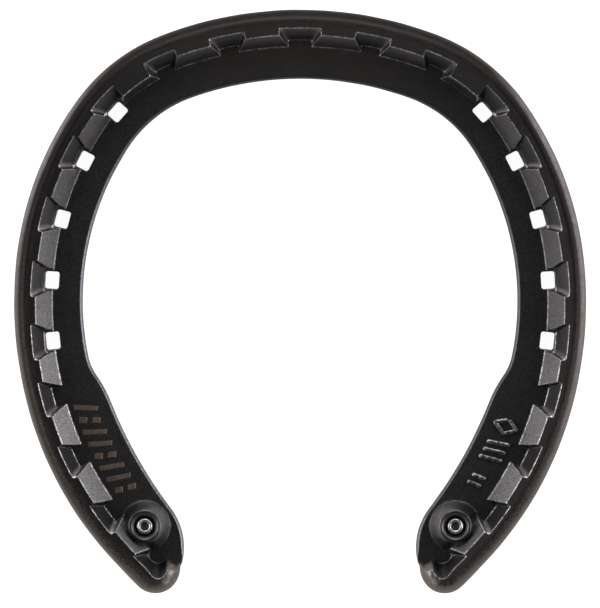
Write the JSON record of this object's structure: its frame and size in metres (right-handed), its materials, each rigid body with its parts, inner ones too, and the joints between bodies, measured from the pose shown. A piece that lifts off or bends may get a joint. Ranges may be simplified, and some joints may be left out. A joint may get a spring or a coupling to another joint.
{
  "type": "horseshoe",
  "caption": "Open steel horseshoe: a flat web with square nail holes, a raised toothed ground rim, and a hard-pin stud in a raised boss at each heel.",
  "frame": {"origin": "on the hoof side's plane, under the centre of the bounding box, in the middle of the shoe's opening", "axes": "+Z from the hoof side to the ground side, +Y to the toe, X across the shoe from branch to branch"},
  "size_m": [0.1302, 0.1324, 0.008],
  "materials": {
    "blackened_steel": "black coated forged steel, satin, worn grey on the tooth edges",
    "stud_steel": "bare steel sleeve, bright where its crown is turned",
    "stud_carbide": "dark sintered carbide, matt"
  },
  "bodies": {
    "root": {"shoe_body": "blackened_steel", "stud_sleeve_left": "stud_steel", "stud_sleeve_right": "stud_steel", "carbide_pin_left": "stud_carbide", "carbide_pin_right": "stud_carbide"}
  },
  "joints": []
}
